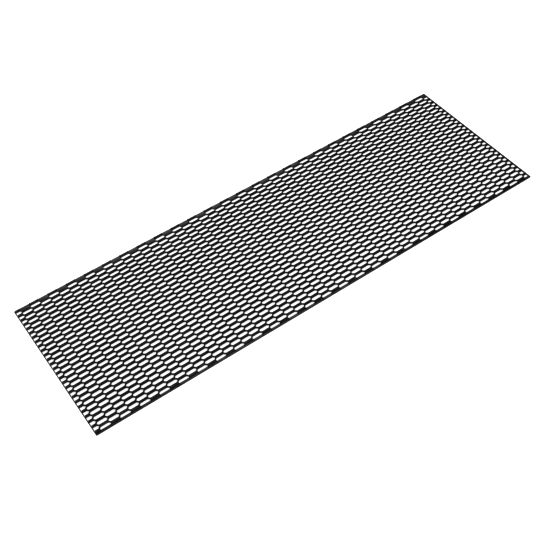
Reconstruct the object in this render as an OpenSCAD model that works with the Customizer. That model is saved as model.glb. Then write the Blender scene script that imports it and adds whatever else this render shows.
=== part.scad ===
// Expanded metal grille panel: rows of zigzag strands, joined bond to bond into
// a honeycomb of long six-sided openings, and closed all round by flat edges.
// It lies flat: X is its length, Y its width, Z its height.

/* [Panel] */
// Overall length of the panel
panel_length = 1000; // [900:1:1300]

/* [Openings] */
// Number of half pitches of the openings along the length
half_columns = 51; // [41:2:61]
// Distance from one opening to the next along the width
opening_pitch = 12.3; // [11:0.05:14]
// Length of the flat bond between two openings
bond_length = 16.2; // [13:0.1:16.5]

/* [Sheet] */
// Width of each slit strand
strand_width = 2.45; // [2:0.05:3]
// Thickness of the sheet metal
sheet_thickness = 2; // [1:0.1:2.2]

/* [Edges] */
// Thickness of the four edge strips
edge_thickness = 1.8; // [1:0.1:2.2]
// Width of the left end strip
left_end_width = 1.6; // [1:0.1:4]
// Width of the right end strip
right_end_width = 2.6; // [1:0.1:4]
// Distance from the foot of the first bonds to the near edge of the panel
near_border = 5.3; // [4.5:0.1:10]
// Distance from the foot of the last bonds to the far edge of the panel
far_border = 4.9; // [3:0.1:10]

/* [Hidden] */
// Strands between the near edge and the far edge, one row of bonds apart
strand_count = 51;
function strand_name(index) = str("strand_", index < 10 ? "0" : "", index);

// The press slits one strand after another and pushes each down by one stroke.
// Laid flat, the mesh climbs half a pitch a strand, and its bonds stand tilted.
step = opening_pitch / 2;
stroke = sqrt(step * step - strand_width * strand_width);
tilt = atan(stroke / strand_width);

mesh_length = panel_length - left_end_width - right_end_width;
mesh_start = left_end_width - panel_length / 2;
column_step = mesh_length / half_columns;
run_length = column_step - bond_length;
miter = sheet_thickness / 2 * tan(atan(stroke / run_length) / 2);

// Share of a run that stays on a bond which stands on an edge strip
near_wing = 0.55;
far_wing = 0.35;

panel_width = near_border + (strand_count + 1) * step + far_border;
near_bond_foot = -panel_width / 2 + near_border;
far_bond_foot = panel_width / 2 - far_border;
near_face = near_bond_foot - 0.2;
far_face = far_bond_foot + 0.5;
tongue_tip = far_bond_foot - step + 0.3;
foot_lift = sheet_thickness / 2 * cos(tilt);

// Whether a column is low on a strand, and the height of the strand there
function is_low(column, index) = (column + index) % 2 == 0;
function level(column, index) = is_low(column, index) ? -stroke : 0;

// Distance along X from a column's centre to the end of its bond. The first and
// the last column are cut in half.
function is_cut(column, side) = (column == 0 && side < 0) || (column == half_columns && side > 0);
function bond_end(column, side) = is_cut(column, side) ? 0 : side * bond_length / 2;

// Upper (face 1) or lower (face -1) outline of a strand, from left to right
function strand_line(index, face) = [
    for (column = [0 : half_columns], side = [-1, 1])
        let (turn = is_low(column, index) ? -side : side,
             shift = is_cut(column, side) ? 0 : face * turn * miter)
        [column * column_step + bond_end(column, side) + shift,
         level(column, index) + face * sheet_thickness / 2]
];

function reversed(points) = [for (i = [len(points) - 1 : -1 : 0]) points[i]];

// Outline of one bond with the start of a run at each end
function bond_line(low, wing, face) = [
    for (side = [-1, 1], far_end = side < 0 ? [1, 0] : [0, 1])
        let (turn = low ? -side : side)
        [side * (bond_length / 2 + far_end * wing * run_length) + face * turn * miter,
         (low ? 1 : -1) * far_end * wing * stroke + face * sheet_thickness / 2]
];

// Stands an outline on edge and gives it the width of one strand
module one_strand_wide(index) {
    translate([0, index * strand_width, -(index - 1) * stroke])
        rotate([90, 0, 0])
        linear_extrude(strand_width)
        children();
}

// Turns the staircase of strands level and lays it on the ground
module laid_flat() {
    translate([mesh_start, near_bond_foot + strand_width * cos(tilt),
               strand_width * sin(tilt) + foot_lift])
        rotate([tilt, 0, 0])
        children();
}

module strand(index) {
    color("#17181a")
        laid_flat()
        one_strand_wide(index)
        polygon(concat(strand_line(index, 1), reversed(strand_line(index, -1))));
}

// The bonds at the even columns, without the rest of their strand
module even_bonds(index, wing) {
    low = is_low(0, index);
    laid_flat()
        one_strand_wide(index)
        intersection() {
            for (column = [0 : 2 : half_columns])
                translate([column * column_step, level(0, index)])
                polygon(concat(bond_line(low, wing, 1), reversed(bond_line(low, wing, -1))));
            translate([0, -2 * stroke])
                square([mesh_length, 4 * stroke]);
        }
}

// Flat border, with the lower half of the first row of bonds standing up from it
module near_edge_strip() {
    color("#1d1e20")
        union() {
            translate([-panel_length / 2, -panel_width / 2, 0])
                cube([panel_length, near_face + panel_width / 2, edge_thickness]);
            even_bonds(0, near_wing);
        }
}

// Inner outline of the far border: a tongue fills the half opening at each odd column
function tongue_line() = [
    for (column = [0 : half_columns], side = [-1, 1])
        [mesh_start + column * column_step + bond_end(column, side),
         column % 2 == 0 ? far_face : tongue_tip]
];

// Everything on the near side of the last strand's far face
module ahead_of_last_strand() {
    laid_flat()
        translate([-panel_length, strand_count * strand_width - panel_width,
                   -strand_count * stroke - sheet_thickness / 2])
        cube([3 * panel_length, 2 * panel_width, panel_width]);
}

// Flat border with its tongues, and the last row of bonds standing up from it
module far_edge_strip() {
    color("#1d1e20")
        union() {
            difference() {
                linear_extrude(edge_thickness)
                    polygon(concat([[-panel_length / 2, panel_width / 2], [-panel_length / 2, far_face]],
                                   tongue_line(),
                                   [[mesh_start + mesh_length, far_face], [panel_length / 2, far_face],
                                    [panel_length / 2, panel_width / 2]]));
                ahead_of_last_strand();
            }
            even_bonds(strand_count + 1, far_wing);
            even_bonds(strand_count + 2, far_wing);
        }
}

module end_strip(start, width) {
    color("#1b1c1e")
        translate([start, near_face, 0])
        cube([width, far_face - near_face, edge_thickness]);
}

module left_end_strip() {
    end_strip(-panel_length / 2, left_end_width);
}

module right_end_strip() {
    end_strip(panel_length / 2 - right_end_width, right_end_width);
}

near_edge_strip();
far_edge_strip();
left_end_strip();
right_end_strip();
for (index = [1 : strand_count])
    strand(index);
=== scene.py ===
# %% [markdown]
# # A honeycomb mesh panel of stretched sheet metal
# The real panel starts as one thin sheet. A press slits it in rows, and pushes each
# slit strand down, so that the sheet opens into long six-sided holes. Flat metal is
# left along both long edges, and a thin strip closes each end.
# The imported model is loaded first. It gives every place in metres, and the pieces
# made here are shaped inside it.

# %% Load the frame
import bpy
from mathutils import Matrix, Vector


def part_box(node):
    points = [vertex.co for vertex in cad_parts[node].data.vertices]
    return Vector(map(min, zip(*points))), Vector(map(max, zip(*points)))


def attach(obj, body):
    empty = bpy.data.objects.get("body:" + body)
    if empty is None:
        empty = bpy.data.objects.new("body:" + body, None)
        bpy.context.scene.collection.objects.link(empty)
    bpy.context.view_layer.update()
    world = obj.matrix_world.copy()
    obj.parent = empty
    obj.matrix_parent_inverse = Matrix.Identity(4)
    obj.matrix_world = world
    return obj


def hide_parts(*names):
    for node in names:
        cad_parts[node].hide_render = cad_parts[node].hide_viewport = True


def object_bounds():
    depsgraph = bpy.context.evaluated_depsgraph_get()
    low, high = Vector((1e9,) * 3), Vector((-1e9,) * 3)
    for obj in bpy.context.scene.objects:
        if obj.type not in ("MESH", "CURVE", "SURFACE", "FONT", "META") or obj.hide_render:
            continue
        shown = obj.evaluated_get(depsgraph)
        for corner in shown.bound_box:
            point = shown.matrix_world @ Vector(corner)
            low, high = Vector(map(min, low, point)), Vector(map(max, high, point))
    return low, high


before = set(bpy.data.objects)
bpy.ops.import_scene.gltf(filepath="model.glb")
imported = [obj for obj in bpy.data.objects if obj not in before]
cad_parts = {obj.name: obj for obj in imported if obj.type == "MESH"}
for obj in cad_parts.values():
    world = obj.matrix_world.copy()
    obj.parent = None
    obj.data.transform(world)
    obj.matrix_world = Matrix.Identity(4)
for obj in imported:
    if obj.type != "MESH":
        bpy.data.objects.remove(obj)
frame_low, frame_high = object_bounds()
print("frame box", [round(v, 4) for v in frame_low], [round(v, 4) for v in frame_high])

# %% [markdown]
# ## Sizes
# Only a few sizes describe the mesh: how long a bond is, how wide and how thick a
# strand is, and how far one row of bonds lies from the next. The last one is measured
# on the frame, because a typed value could drift away from it. Width and step fix how
# steeply the bonds stand: a strand is pushed down square to its own width, so width,
# stroke and step make a right triangle.

# %% Sizes of the mesh
import math
import bmesh
import bpy
from mathutils import Vector

BOND_LENGTH = 0.0162
STRAND_WIDTH = 0.00245
THICKNESS = 0.002
HALF_COLUMNS = 51
STRANDS = 51

first_low, first_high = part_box("strand_01")
third_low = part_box("strand_03")[0]
STEP = (third_low.y - first_low.y) / 2
STROKE = math.sqrt(STEP ** 2 - STRAND_WIDTH ** 2)
TILT = math.atan2(STROKE, STRAND_WIDTH)
MESH_LENGTH = first_high.x - first_low.x
COLUMN_STEP = MESH_LENGTH / HALF_COLUMNS
PITCH = 2 * COLUMN_STEP
PITCHES = (HALF_COLUMNS + 1) // 2
HALF_BOND = BOND_LENGTH / 2
RUN_LENGTH = COLUMN_STEP - BOND_LENGTH
print("step", round(STEP * 1000, 3), "mm; bonds stand at", round(math.degrees(TILT), 1), "degrees")

# %% [markdown]
# ## Working in edit mode from code
# These helpers do what a hand does: open a piece with nothing selected, select what
# passes a test, put a finished piece down with its place in its mesh, and add a block
# to start from. A mesh could also be built from lists of points, but then each size
# would be worked out by hand, and the steps would say nothing about the real piece.

# %% Helpers for edit mode
# Places closer than the first value are the same place, and a face whose unit normal
# has more than the second value along an axis points along that axis.
SAME_PLACE = 1e-5
ALONG_AXIS = 0.99


def open_piece(piece):
    """Opens one piece in edit mode with nothing selected."""
    if bpy.context.mode != "OBJECT":
        bpy.ops.object.mode_set(mode="OBJECT")
    bpy.ops.object.select_all(action="DESELECT")
    piece.select_set(True)
    bpy.context.view_layer.objects.active = piece
    bpy.ops.object.mode_set(mode="EDIT")
    bpy.ops.mesh.select_all(action="DESELECT")


def pick(piece, kind, test):
    """Selects only what passes a test, and says how many vertices, edges or faces did."""
    bpy.ops.mesh.select_mode(type=kind)
    bpy.ops.mesh.select_all(action="DESELECT")
    mesh = bmesh.from_edit_mesh(piece.data)
    items = {"VERT": mesh.verts, "EDGE": mesh.edges, "FACE": mesh.faces}[kind]
    chosen = [item for item in items if test(item)]
    for item in chosen:
        item.select_set(True)
    mesh.select_flush_mode()
    bmesh.update_edit_mesh(piece.data)
    return len(chosen)


def put_down(piece):
    """Back to object mode, with place, turn and scale moved into the mesh."""
    if bpy.context.mode != "OBJECT":
        bpy.ops.object.mode_set(mode="OBJECT")
    bpy.ops.object.select_all(action="DESELECT")
    piece.select_set(True)
    bpy.context.view_layer.objects.active = piece
    bpy.ops.object.transform_apply(location=True, rotation=True, scale=True)


def new_bar(name, low, high):
    """A block between two corners, ready to be shaped."""
    low, high = Vector(low), Vector(high)
    bpy.ops.object.select_all(action="DESELECT")
    bpy.ops.mesh.primitive_cube_add(size=1, location=(low + high) / 2, scale=high - low)
    piece = bpy.context.active_object
    piece.name = piece.data.name = name
    put_down(piece)
    return piece


# %% [markdown]
# ## The pressed strand
# On the real panel a strand is a narrow band between two slits. It runs flat through a
# bond, steps down beside the opening, and runs flat through the next bond. Where the
# press bent it, the metal is rounded, and the coating has softened its free edges.
# A strand could be a curve with a rectangular profile, but a bar that is cut at its
# bends and pushed down is nearer to how the press makes it, and keeps the mitres true.
# Only one pitch is shaped. The edges inside a bond stay square, because there the
# strand goes on into its neighbour.

# %% A straight strand, and a leaning cut across it
BEND_LEAN = math.atan2(STROKE, RUN_LENGTH) / 2
MITRE = THICKNESS / 2 * math.tan(BEND_LEAN)
PAST_MITRE = HALF_BOND + 1.5 * MITRE


def strand_bar(name, start, end, level):
    """A straight strand of one level, before it is bent."""
    return new_bar(name, (start, -STRAND_WIDTH / 2, level - THICKNESS / 2),
                   (end, STRAND_WIDTH / 2, level + THICKNESS / 2))


def cut_across(piece, x, level=0.0, lean=0.0):
    """Cuts the whole piece at x, on a plane that leans like a mitre about that level."""
    open_piece(piece)
    bpy.ops.mesh.select_all(action="SELECT")
    bpy.ops.mesh.bisect(plane_co=(x, 0, level), plane_no=(math.cos(lean), 0, -math.sin(lean)))


print("a run falls", round(STROKE * 1000, 2), "mm over", round(RUN_LENGTH * 1000, 2),
      "mm, and its mitres lean", round(math.degrees(BEND_LEAN), 1), "degrees")

# %% Rounding of the bends and of the free edges
# This much of a bond, next to its bend, counts as free.
BEND_MARGIN = 0.0003
BEND_ROUNDING = 0.0008
EDGE_ROUNDING = 0.00028


def round_bends(piece):
    """Rounds every edge that crosses the strand, which are its bends."""
    ends = [reach(vert.co.x for vert in piece.data.vertices) for reach in (min, max)]
    open_piece(piece)
    pick(piece, "EDGE", lambda edge: abs(edge.verts[0].co.y - edge.verts[1].co.y) > STRAND_WIDTH / 2
         and min(abs(edge.verts[0].co.x - end) for end in ends) > SAME_PLACE)
    bpy.ops.mesh.bevel(offset=BEND_ROUNDING, segments=2, profile=0.5, affect="EDGES")


def is_lengthwise_corner(edge):
    """An edge between a slit side and a wide face of a strand."""
    if len(edge.link_faces) != 2:
        return False
    sides = sorted(abs(face.normal.y) for face in edge.link_faces)
    return sides[0] < 1 - ALONG_AXIS and sides[1] > ALONG_AXIS


def round_free_edges(piece, is_joined):
    """Rounds the lengthwise edges that border an opening."""
    open_piece(piece)
    pick(piece, "EDGE", lambda edge: is_lengthwise_corner(edge)
         and not is_joined((edge.verts[0].co + edge.verts[1].co) / 2))
    bpy.ops.mesh.bevel(offset=EDGE_ROUNDING, segments=1, affect="EDGES")


print("bends are rounded by", BEND_ROUNDING * 1000, "mm and free edges by", EDGE_ROUNDING * 1000, "mm")

# %% One pitch of a strand, cut and pushed down
def strand_pitch(name, starts_high):
    """One pitch of a strand, from the middle of one bond to the middle of the next but one."""
    down = -1 if starts_high else 1
    level = 0 if starts_high else -STROKE
    piece = strand_bar(name, 0, PITCH, level)
    for x, turn in ((HALF_BOND, 1), (COLUMN_STEP - HALF_BOND, 1),
                    (COLUMN_STEP + HALF_BOND, -1), (PITCH - HALF_BOND, -1)):
        cut_across(piece, x, level, -down * turn * BEND_LEAN)
    pick(piece, "VERT", lambda vert: abs(vert.co.x - COLUMN_STEP) < PAST_MITRE)
    bpy.ops.transform.translate(value=(0, 0, down * STROKE))
    pick(piece, "FACE", lambda face: abs(face.normal.x) > ALONG_AXIS)
    bpy.ops.mesh.delete(type="FACE")
    round_bends(piece)

    def is_joined(place):
        from_middle = min(place.x, PITCH - place.x)
        in_middle_bond = from_middle > COLUMN_STEP / 2
        if in_middle_bond:
            from_middle = COLUMN_STEP - from_middle
        high = in_middle_bond != starts_high
        joined_side = -1 if high else 1
        return from_middle < HALF_BOND - BEND_MARGIN and place.y * joined_side > 0

    round_free_edges(piece, is_joined)
    put_down(piece)
    print(name, "has", len(piece.data.polygons), "faces in one pitch")
    return piece


# %% [markdown]
# ## A whole strand
# The real strand crosses the whole sheet, and is cut off where the end strips stand.
# One pitch is repeated by an array, because shaping each bend of a long bar would be
# many times the work and could let one differ from the next. The strand is then
# leaned back to the slope of the bonds and moved to its row. Two kinds are needed,
# because neighbouring strands rise where the other one falls. The second kind is the
# first one moved along by one column, but it is made from a pitch of its own, so that
# both kinds start and end at the same cut.

# %% Repeat, trim and lean the strand
MERGE_DISTANCE = 1e-6
SMOOTH_BELOW = math.radians(40)
UP_THE_BOND = Vector((0, math.cos(TILT), math.sin(TILT)))
OUT_OF_THE_BOND = Vector((0, -math.sin(TILT), math.cos(TILT)))
BOND_FOOT = first_low.y + THICKNESS / 2 * math.sin(TILT) - STRAND_WIDTH * math.cos(TILT)
FIRST_BOND_FOOT = Vector((first_low.x, BOND_FOOT, THICKNESS / 2 * math.cos(TILT)))
FIRST_SLIT = FIRST_BOND_FOOT + STRAND_WIDTH * UP_THE_BOND


def repeat_along(piece, count, pitch):
    """Repeats a piece along X and joins the copies where they meet."""
    put_down(piece)
    row = piece.modifiers.new("row", "ARRAY")
    row.count = count
    row.use_relative_offset = False
    row.use_constant_offset = True
    row.constant_offset_displace = (pitch, 0, 0)
    row.use_merge_vertices = True
    row.merge_threshold = MERGE_DISTANCE
    bpy.ops.object.modifier_apply(modifier=row.name)


def trim(piece, place, outward):
    """Cuts off all that lies beyond a plane and closes the cut."""
    open_piece(piece)
    bpy.ops.mesh.select_all(action="SELECT")
    bpy.ops.mesh.bisect(plane_co=place, plane_no=outward, use_fill=True, clear_outer=True)


def close_start(piece):
    """Fills the open outline at the start of a row."""
    open_piece(piece)
    pick(piece, "EDGE", lambda edge: len(edge.link_faces) == 1)
    bpy.ops.mesh.edge_face_add()


def lean_into_row(piece, index):
    """Leans a straight piece back like the bonds and moves it to its row."""
    piece.rotation_euler = (TILT, 0, 0)
    piece.location = FIRST_SLIT + (index - 0.5) * STRAND_WIDTH * UP_THE_BOND \
        - (index - 1) * STROKE * OUT_OF_THE_BOND
    put_down(piece)


def smooth(piece):
    """Smooth shading over the rounded edges, crisp across the sharp ones."""
    put_down(piece)
    bpy.ops.object.shade_smooth_by_angle(angle=SMOOTH_BELOW)


print("the first slit lies", round(FIRST_SLIT.z * 1000, 2), "mm up")

# %% The first strand of each kind
def whole_strand(name, index):
    """A strand from end strip to end strip, in its own row."""
    piece = strand_pitch(name, starts_high=index % 2 == 1)
    repeat_along(piece, PITCHES, PITCH)
    trim(piece, (MESH_LENGTH, 0, 0), (1, 0, 0))
    close_start(piece)
    lean_into_row(piece, index)
    smooth(piece)
    return piece


def report(piece):
    """Prints how many faces a piece has, and its lowest and highest corners."""
    places = [vert.co * 1000 for vert in piece.data.vertices]
    low, high = ([round(reach(place[axis] for place in places), 2) for axis in range(3)]
                 for reach in (min, max))
    print(piece.name, len(piece.data.polygons), "faces, mm", low, high)


masters = {1: whole_strand("pressed_strand_01", 1), 2: whole_strand("pressed_strand_02", 2)}
for index, master in masters.items():
    report(master)

# %% [markdown]
# ## Fifty-one strands
# The press makes every strand with the same stroke, so they are all alike. A second
# array could repeat them, but each strand is a piece of its own, so every later strand
# is a copy of one of the first two, moved by a whole number of openings, with a mesh
# and a name of its own.

# %% Copy the strands
strands = dict(masters)
for index in range(3, STRANDS + 1):
    kind = 1 if index % 2 else 2
    bpy.ops.object.select_all(action="DESELECT")
    masters[kind].select_set(True)
    bpy.context.view_layer.objects.active = masters[kind]
    move = (0, (index - kind) * STEP, 0)
    bpy.ops.object.duplicate_move(TRANSFORM_OT_translate={"value": move})
    piece = bpy.context.active_object
    piece.name = piece.data.name = f"pressed_strand_{index:02d}"
    put_down(piece)
    strands[index] = piece
print(len(strands), "strands")
report(strands[STRANDS])

# %% [markdown]
# ## Bonds on the two long edges
# The first slit leaves half a bond on the near edge of the sheet, and the last row of
# bonds stands whole on the far edge. No strand goes on from there, so these bonds end
# in short stubs that run into the edge. A stub is the start of a bend, so a half bond
# is made the same way as a strand, only short, and then repeated. A lower half has its
# stubs bent up, and an upper half has them bent down.

# %% Rows of single bonds
NEAR_STUB = 0.55
FAR_STUB = 0.35


def bond_row(name, index, is_low, stub):
    """One half of a row of bonds, at every second column from the first one on."""
    reach = HALF_BOND + stub * RUN_LENGTH
    level, rise = (-STROKE, 1) if is_low else (0, -1)
    piece = strand_bar(name, -reach, reach, level)
    for side in (-1, 1):
        cut_across(piece, side * HALF_BOND, level, -rise * side * BEND_LEAN)
    pick(piece, "VERT", lambda vert: abs(vert.co.x) > PAST_MITRE)
    bpy.ops.transform.translate(value=(0, 0, rise * stub * STROKE))
    round_bends(piece)
    round_free_edges(piece, lambda place: abs(place.x) < HALF_BOND - BEND_MARGIN
                     and place.y * rise > 0)
    repeat_along(piece, PITCHES, PITCH)
    trim(piece, (0, 0, 0), (-1, 0, 0))
    put_down(piece)
    lean_into_row(piece, index)
    smooth(piece)
    return piece


near_bonds = bond_row("near_edge_bonds", 0, True, NEAR_STUB)
far_bonds = bond_row("far_edge_bonds", STRANDS + 1, True, FAR_STUB)
far_bond_tops = bond_row("far_edge_bond_tops", STRANDS + 2, False, FAR_STUB)
for piece in (near_bonds, far_bonds, far_bond_tops):
    report(piece)

# %% [markdown]
# ## The near edge
# The near edge is plain sheet that the press never touched. Its outer corners are
# rounded, and the coating eases its cut edges. A bevel modifier could round all of it
# at once, but the corners need a larger rounding than the edges, so the two are
# bevelled one after the other.

# %% The near edge
end_low, end_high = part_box("left_end_strip")
EDGE_THICKNESS = end_high.z - end_low.z
CORNER_ROUNDING = 0.0012
EDGE_EASING = 0.0004
SHARP_ABOVE = math.radians(30)


def round_outer_corners(piece, outer_y):
    """Rounds the two upright corners on the panel's outside."""
    open_piece(piece)
    pick(piece, "EDGE", lambda edge: abs(edge.verts[0].co.z - edge.verts[1].co.z) > EDGE_THICKNESS / 2
         and abs(edge.verts[0].co.y - outer_y) < SAME_PLACE
         and abs(edge.verts[0].co.x) > frame_high.x - SAME_PLACE)
    bpy.ops.mesh.bevel(offset=CORNER_ROUNDING, segments=4, affect="EDGES")


def ease_edges(piece, width=EDGE_EASING):
    """Rounds every sharp edge a little."""
    open_piece(piece)
    pick(piece, "EDGE", lambda edge: len(edge.link_faces) == 2
         and edge.calc_face_angle() > SHARP_ABOVE)
    bpy.ops.mesh.bevel(offset=width, segments=2, affect="EDGES")
    smooth(piece)


near_bar = new_bar("near_edge_bar", (frame_low.x, frame_low.y, 0),
                   (frame_high.x, end_low.y, EDGE_THICKNESS))
round_outer_corners(near_bar, frame_low.y)
ease_edges(near_bar)
report(near_bar)

# %% [markdown]
# ## The far edge
# The far edge has a tongue of sheet in every second column, which the last slits left
# behind the bonds. The tongues could be cut out of a wide bar with a boolean, but that
# can leave stray points along the cuts. Here a tongue is extruded from one pitch of the
# bar and narrowed, and the row is repeated. Then the tongues are cut back to the slope
# of the bonds in front of them, and the bar is drawn out to both ends of the panel.

# %% A row of tongues
TONGUE_SPARE = 0.0003
TONGUE_TIP = BOND_FOOT + STRANDS * STEP + TONGUE_SPARE

far_bar = new_bar("far_edge_bar", (0, end_high.y, 0), (PITCH, frame_high.y, EDGE_THICKNESS))
for x in (HALF_BOND, PITCH - HALF_BOND):
    cut_across(far_bar, x)
tongues = pick(far_bar, "FACE", lambda face: face.normal.y < -ALONG_AXIS
               and abs(face.calc_center_median().x - COLUMN_STEP) < HALF_BOND)
tongue_length = end_high.y - TONGUE_TIP
bpy.ops.mesh.extrude_region_move(TRANSFORM_OT_translate={"value": (0, -tongue_length, 0)})
bpy.ops.transform.resize(value=(BOND_LENGTH / (PITCH - BOND_LENGTH), 1, 1))
pick(far_bar, "FACE", lambda face: abs(face.normal.x) > ALONG_AXIS
     and min(abs(face.calc_center_median().x - end) for end in (0, PITCH)) < SAME_PLACE)
bpy.ops.mesh.delete(type="FACE")
repeat_along(far_bar, PITCHES, PITCH)
trim(far_bar, (MESH_LENGTH, 0, 0), (1, 0, 0))
close_start(far_bar)
put_down(far_bar)
far_bar.location.x = first_low.x
put_down(far_bar)
print(tongues, "tongue in each pitch,", round(tongue_length * 1000, 2), "mm long before the trim")
report(far_bar)

# %% Slope of the tongues, and the ends of the far edge
bond_back = FIRST_SLIT + Vector((0, STRANDS * STEP, 0)) - THICKNESS / 2 * OUT_OF_THE_BOND
trim(far_bar, bond_back, OUT_OF_THE_BOND)


def closes_mesh(face, end_x):
    """A face across the strip where the mesh ends."""
    return (abs(face.normal.x) > ALONG_AXIS
            and abs(face.calc_center_median().x - end_x) < SAME_PLACE)


for mesh_end, panel_end in ((first_low.x, frame_low.x), (first_high.x, frame_high.x)):
    pick(far_bar, "FACE", lambda face: closes_mesh(face, mesh_end))
    bpy.ops.mesh.bisect(plane_co=(0, end_high.y, 0), plane_no=(0, 1, 0))
    drawn_out = pick(far_bar, "FACE", lambda face: closes_mesh(face, mesh_end)
                     and face.calc_center_median().y > end_high.y)
    bpy.ops.mesh.extrude_region_move(
        TRANSFORM_OT_translate={"value": (panel_end - mesh_end, 0, 0)})
    print("end faces drawn out", drawn_out)
put_down(far_bar)
round_outer_corners(far_bar, frame_high.y)
ease_edges(far_bar, EDGE_ROUNDING)
report(far_bar)

# %% [markdown]
# ## The end strips
# The mesh is cut off straight at both ends, and a narrow strip holds the cut strands.
# It is the same thin metal as the long edges, so it gets the same eased edges. Its box
# is taken from the frame, because the two ends differ in width.

# %% Two end strips
end_bars = {}
for side in ("left", "right"):
    low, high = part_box(f"{side}_end_strip")
    end_bars[side] = new_bar(f"{side}_end_bar", low, high)
    ease_edges(end_bars[side])
    report(end_bars[side])

# %% [markdown]
# ## Shader groups
# The panel has one finish, a satin black coat that was sprayed on after pressing. Close
# up it has a fine orange-peel surface, it is a little cloudy from thick to thin, grey
# dust settles where it faces up, and sharp edges are rubbed thin so that metal shows.
# The coat could be one large material, copied and changed for the flat edges. Here each
# effect is a group of nodes with named inputs, so that the strands and the flat edges
# use the same effects with their own values. The groups put out only colours, masks and
# heights, and the shader itself stays in each material.

# %% Helpers for node groups
def new_group(name, inputs, outputs):
    """A shader group with named sockets, and its input and output nodes."""
    group = bpy.data.node_groups.new(name, "ShaderNodeTree")
    for label, kind, value in inputs:
        socket = group.interface.new_socket(name=label, in_out="INPUT", socket_type=kind)
        if value is not None:
            socket.default_value = value
    for label, kind in outputs:
        group.interface.new_socket(name=label, in_out="OUTPUT", socket_type=kind)
    return group, group.nodes.new("NodeGroupInput"), group.nodes.new("NodeGroupOutput")


def noise(tree, place, scale, detail, roughness=0.5):
    """A noise texture at a place; scale is a number or a socket."""
    node = tree.nodes.new("ShaderNodeTexNoise")
    tree.links.new(place, node.inputs["Vector"])
    if isinstance(scale, (int, float)):
        node.inputs["Scale"].default_value = scale
    else:
        tree.links.new(scale, node.inputs["Scale"])
    node.inputs["Detail"].default_value = detail
    node.inputs["Roughness"].default_value = roughness
    return node.outputs["Fac"]


def remap(tree, value, given_range, wanted_range=(0.0, 1.0)):
    """Stretches one range of a value onto another, and clamps it."""
    node = tree.nodes.new("ShaderNodeMapRange")
    tree.links.new(value, node.inputs["Value"])
    labels = ("From Min", "From Max", "To Min", "To Max")
    for label, number in zip(labels, (*given_range, *wanted_range)):
        node.inputs[label].default_value = number
    return node.outputs["Result"]


def calculate(tree, operation, first, second):
    """One step of arithmetic; each value is a number or a socket."""
    node = tree.nodes.new("ShaderNodeMath")
    node.operation = operation
    for socket, value in zip(node.inputs, (first, second)):
        if isinstance(value, (int, float)):
            socket.default_value = value
        else:
            tree.links.new(value, socket)
    return node.outputs["Value"]


def blend_colours(tree, factor, first, second):
    """Mixes two colours; each is a fixed colour or a socket."""
    node = tree.nodes.new("ShaderNodeMix")
    node.data_type = "RGBA"
    tree.links.new(factor, node.inputs["Factor"])
    for label, value in (("A", first), ("B", second)):
        socket = next(s for s in node.inputs if s.name == label and s.type == "RGBA")
        if isinstance(value, tuple):
            socket.default_value = value
        else:
            tree.links.new(value, socket)
    return next(s for s in node.outputs if s.type == "RGBA")


# %% Group: sprayed coat
CLOUD_SCALE = 14.0
STREAK_SCALE = 160.0
PEEL_SCALE = 900.0
GLOSS_RANGE = (0.36, 0.50)

coat_group, given, result = new_group(
    "sprayed_coat",
    [("Place", "NodeSocketVector", None),
     ("Thick Colour", "NodeSocketColor", (0.008, 0.008, 0.009, 1)),
     ("Thin Colour", "NodeSocketColor", (0.016, 0.016, 0.017, 1)),
     ("Peel Scale", "NodeSocketFloat", PEEL_SCALE)],
    [("Colour", "NodeSocketColor"), ("Roughness", "NodeSocketFloat"), ("Height", "NodeSocketFloat")])
clouds = noise(coat_group, given.outputs["Place"], CLOUD_SCALE, detail=3.0)
streaks = noise(coat_group, given.outputs["Place"], STREAK_SCALE, detail=2.0)
peel = noise(coat_group, given.outputs["Place"], given.outputs["Peel Scale"], detail=2.0)
thinness = remap(coat_group, calculate(coat_group, "ADD", clouds, streaks), (0.75, 1.25))
colour = blend_colours(coat_group, thinness, given.outputs["Thick Colour"],
                       given.outputs["Thin Colour"])
gloss = remap(coat_group, calculate(coat_group, "ADD", streaks, peel), (0.7, 1.3), GLOSS_RANGE)
for label, socket in (("Colour", colour), ("Roughness", gloss), ("Height", peel)):
    coat_group.links.new(socket, result.inputs[label])
print(coat_group.name, "has", len(coat_group.nodes), "nodes")

# %% Group: rubbed edges
RUB_REACH = 0.0003
RUB_PATCH_SCALE = 220.0
BEVEL_SAMPLES = 4

rub_group, given, result = new_group(
    "rubbed_edges",
    [("Place", "NodeSocketVector", None), ("Reach", "NodeSocketFloat", RUB_REACH),
     ("Amount", "NodeSocketFloat", 0.5)],
    [("Mask", "NodeSocketFloat")])
softened = rub_group.nodes.new("ShaderNodeBevel")
softened.samples = BEVEL_SAMPLES
rub_group.links.new(given.outputs["Reach"], softened.inputs["Radius"])
surface = rub_group.nodes.new("ShaderNodeNewGeometry")
likeness = rub_group.nodes.new("ShaderNodeVectorMath")
likeness.operation = "DOT_PRODUCT"
rub_group.links.new(softened.outputs["Normal"], likeness.inputs[0])
rub_group.links.new(surface.outputs["Normal"], likeness.inputs[1])
edges = remap(rub_group, likeness.outputs["Value"], (0.98, 0.80))
scuffs = noise(rub_group, given.outputs["Place"], RUB_PATCH_SCALE, detail=4.0, roughness=0.65)
patches = remap(rub_group, scuffs, (0.45, 0.65))
rubbed = calculate(rub_group, "MULTIPLY", calculate(rub_group, "MULTIPLY", edges, patches),
                   given.outputs["Amount"])
rub_group.links.new(rubbed, result.inputs["Mask"])
print(rub_group.name, "has", len(rub_group.nodes), "nodes")

# %% Group: settled dust
SPECK_SCALE = 1500.0
DRIFT_SCALE = 30.0

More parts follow.
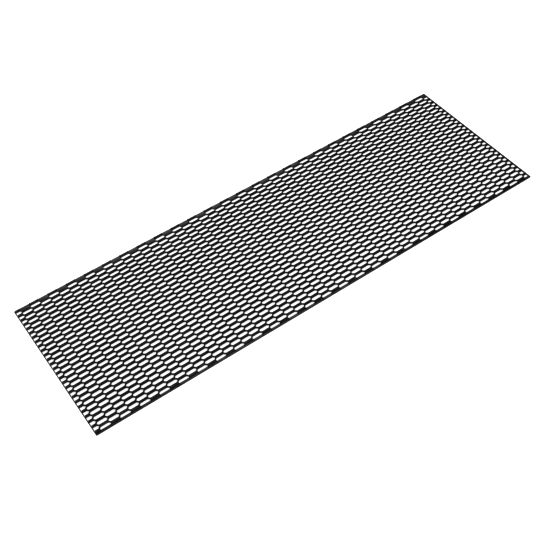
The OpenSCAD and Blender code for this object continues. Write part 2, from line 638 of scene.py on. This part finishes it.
dust_group, given, result = new_group(
    "settled_dust",
    [("Place", "NodeSocketVector", None), ("Amount", "NodeSocketFloat", 0.2)],
    [("Mask", "NodeSocketFloat")])
surface = dust_group.nodes.new("ShaderNodeNewGeometry")
facing = dust_group.nodes.new("ShaderNodeSeparateXYZ")
dust_group.links.new(surface.outputs["Normal"], facing.inputs[0])
upward = remap(dust_group, facing.outputs["Z"], (0.2, 1.0))
grains = noise(dust_group, given.outputs["Place"], SPECK_SCALE, detail=3.0, roughness=0.7)
specks = remap(dust_group, grains, (0.50, 0.72))
banks = noise(dust_group, given.outputs["Place"], DRIFT_SCALE, detail=3.0)
drifts = remap(dust_group, banks, (0.35, 0.70), (0.2, 1.0))
settled = calculate(dust_group, "MULTIPLY", calculate(dust_group, "MULTIPLY", specks, drifts), upward)
shown_dust = calculate(dust_group, "MULTIPLY", settled, given.outputs["Amount"])
dust_group.links.new(shown_dust, result.inputs["Mask"])
print(dust_group.name, "has", len(dust_group.nodes), "nodes")

# %% [markdown]
# ## The two coats
# The strands and the flat edges are sprayed in one go. The flat edges are handled and stacked,
# so they are rubbed more and dust lies on them. Their coat colour is also painted lighter, as
# painted light where the flat edges face up into the lamps. The strand coat is painted darker, as
# painted shade where the steep strands turn away. One material could serve both, but then this painted
# difference would be lost.

# %% One coat from the three groups
BARE_METAL = (0.23, 0.23, 0.24, 1)
DUST = (0.16, 0.155, 0.15, 1)
DUST_DULLING = 0.6
PEEL_STRENGTH = 0.35
PEEL_DEPTH = 0.0003


def coated(name, thick, thin, peel_scale, rub, dust):
    """A satin black coat with its wear and dust."""
    material = bpy.data.materials.new(name)
    material.use_nodes = True
    tree = material.node_tree
    shader = tree.nodes["Principled BSDF"]
    place = tree.nodes.new("ShaderNodeTexCoord").outputs["Object"]

    def use(group):
        node = tree.nodes.new("ShaderNodeGroup")
        node.node_tree = group
        tree.links.new(place, node.inputs["Place"])
        return node

    coat, worn, dusty = use(coat_group), use(rub_group), use(dust_group)
    coat.inputs["Thick Colour"].default_value = thick
    coat.inputs["Thin Colour"].default_value = thin
    coat.inputs["Peel Scale"].default_value = peel_scale
    worn.inputs["Amount"].default_value = rub
    dusty.inputs["Amount"].default_value = dust
    colour = blend_colours(tree, worn.outputs["Mask"], coat.outputs["Colour"], BARE_METAL)
    colour = blend_colours(tree, dusty.outputs["Mask"], colour, DUST)
    tree.links.new(colour, shader.inputs["Base Color"])
    dulled = calculate(tree, "MULTIPLY", dusty.outputs["Mask"], DUST_DULLING)
    roughness = calculate(tree, "ADD", coat.outputs["Roughness"], dulled)
    tree.links.new(roughness, shader.inputs["Roughness"])
    tree.links.new(worn.outputs["Mask"], shader.inputs["Metallic"])
    bump = tree.nodes.new("ShaderNodeBump")
    bump.inputs["Strength"].default_value = PEEL_STRENGTH
    bump.inputs["Distance"].default_value = PEEL_DEPTH
    tree.links.new(coat.outputs["Height"], bump.inputs["Height"])
    tree.links.new(bump.outputs["Normal"], shader.inputs["Normal"])
    print(name, "has", len(tree.nodes), "nodes")
    return material


# %% The coats on their pieces
# The strand colours are painted shade and the edge colours are painted light: the same black coat is
# darker on the steep strands and lighter on the flat edges.
strand_coat_with_painted_shade = coated("strand_coat_with_painted_shade", thick=(0.024, 0.024, 0.025, 1), thin=(0.052, 0.052, 0.054, 1),
                     peel_scale=800.0, rub=0.45, dust=0.20)
edge_coat_with_painted_light = coated("edge_coat_with_painted_light", thick=(0.036, 0.036, 0.037, 1), thin=(0.072, 0.072, 0.074, 1),
                   peel_scale=600.0, rub=0.65, dust=0.30)
edge_pieces = [near_bonds, far_bonds, far_bond_tops, near_bar, far_bar, *end_bars.values()]
for piece in strands.values():
    piece.data.materials.append(strand_coat_with_painted_shade)
for piece in edge_pieces:
    piece.data.materials.append(edge_coat_with_painted_light)
print(len(strands), "strands and", len(edge_pieces), "edge pieces coated")

# %% [markdown]
# ## What each piece stands for
# Each strand takes the place of its plain solid in the frame. The two long edges take
# the place of theirs together with the half bonds that stand on them. Nothing on the
# panel moves, so every piece rides on the one body.

# %% Join the pieces to the frame
for index, piece in strands.items():
    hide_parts(f"strand_{index:02d}")
    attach(piece, "root")
for piece, node in ((near_bar, "near_edge_strip"), (near_bonds, "near_edge_strip"),
                    (far_bar, "far_edge_strip"), (far_bonds, "far_edge_strip"),
                    (far_bond_tops, "far_edge_strip"),
                    (end_bars["left"], "left_end_strip"), (end_bars["right"], "right_end_strip")):
    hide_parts(node)
    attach(piece, "root")
print(len(strands) + len(edge_pieces), "pieces joined to the frame")

# %% [markdown]
# ## Floor, light and camera
# A black mesh shows its openings best on a bright white ground. The floor could be lit
# until it is white, but then the light would grey the coat as well, so the floor glows
# a little instead, like a light table, and stays white inside the openings too. A large
# soft light hangs behind and above, which lifts the flat edges, and a smaller one
# stands at the front left, so the bonds on that side are a little lighter. The room
# gives less light than it shows behind the floor, so that it doesn't grey the coat.
# The display gamma is below one, which keeps thin strands dark on the bright ground.

# %% Floor
FLOOR_REACH = 6
FLOOR_THICKNESS = 0.02
FLOOR_GAP = 0.0001
FLOOR_EASING = 0.01
FLOOR_GREY = 0.25
FLOOR_GLOW = 0.85

floor = new_bar("floor", (-FLOOR_REACH, -FLOOR_REACH, -FLOOR_THICKNESS),
                (FLOOR_REACH, FLOOR_REACH, -FLOOR_GAP))
ease_edges(floor, FLOOR_EASING)
paper = bpy.data.materials.new("floor_paper")
paper.use_nodes = True
paper_shader = paper.node_tree.nodes["Principled BSDF"]
paper_shader.inputs["Base Color"].default_value = (FLOOR_GREY, FLOOR_GREY, FLOOR_GREY, 1)
paper_shader.inputs["Roughness"].default_value = 0.9
paper_shader.inputs["Specular IOR Level"].default_value = 0.1
paper_shader.inputs["Emission Color"].default_value = (1, 1, 1, 1)
paper_shader.inputs["Emission Strength"].default_value = FLOOR_GLOW
floor.data.materials.append(paper)
print("floor top at", -FLOOR_GAP * 1000, "mm")

# %% The room
ROOM_LIGHT = 0.55

world = bpy.data.worlds.new("studio")
bpy.context.scene.world = world
world.use_nodes = True
background = world.node_tree.nodes["Background"]
background.inputs["Color"].default_value = (1, 1, 1, 1)
seen = world.node_tree.nodes.new("ShaderNodeLightPath").outputs["Is Camera Ray"]
strength = remap(world.node_tree, seen, (0.0, 1.0), (ROOM_LIGHT, 1.0))
world.node_tree.links.new(strength, background.inputs["Strength"])
print("room light", ROOM_LIGHT)


# %% Soft lights
def softbox(name, location, aim, size, power):
    """A large square light that points at a place."""
    light = bpy.data.lights.new(name, "AREA")
    light.size = size
    light.energy = power
    box = bpy.data.objects.new(name, light)
    bpy.context.scene.collection.objects.link(box)
    box.location = location
    box.rotation_euler = (Vector(aim) - Vector(location)).to_track_quat("-Z", "Y").to_euler()
    print(name, size, "m wide,", power, "W")


softbox("high_softbox", location=(0.6, 2.2, 2.6), aim=(0, 0, 0), size=2.5, power=120)
softbox("front_left_softbox", location=(-0.9, -3.0, 0.9), aim=(-0.4, 0, 0), size=1.6, power=110)

# %% Camera
CAMERA_PLACE = (-0.6633, -1.0685, 1.4174)
CAMERA_TURN = (39.88, 3.48, -34.67)
LENS = 64.7
SENSOR_WIDTH = 36
DISPLAY_GAMMA = 0.45

camera = bpy.data.objects.new("camera", bpy.data.cameras.new("camera"))
bpy.context.scene.collection.objects.link(camera)
camera.location = CAMERA_PLACE
camera.rotation_euler = [math.radians(angle) for angle in CAMERA_TURN]
camera.data.lens = LENS
camera.data.sensor_width = SENSOR_WIDTH
bpy.context.scene.camera = camera
bpy.context.scene.view_settings.view_transform = "Standard"
bpy.context.scene.view_settings.gamma = DISPLAY_GAMMA
print("camera", round(camera.location.length, 2), "m from the middle of the panel")
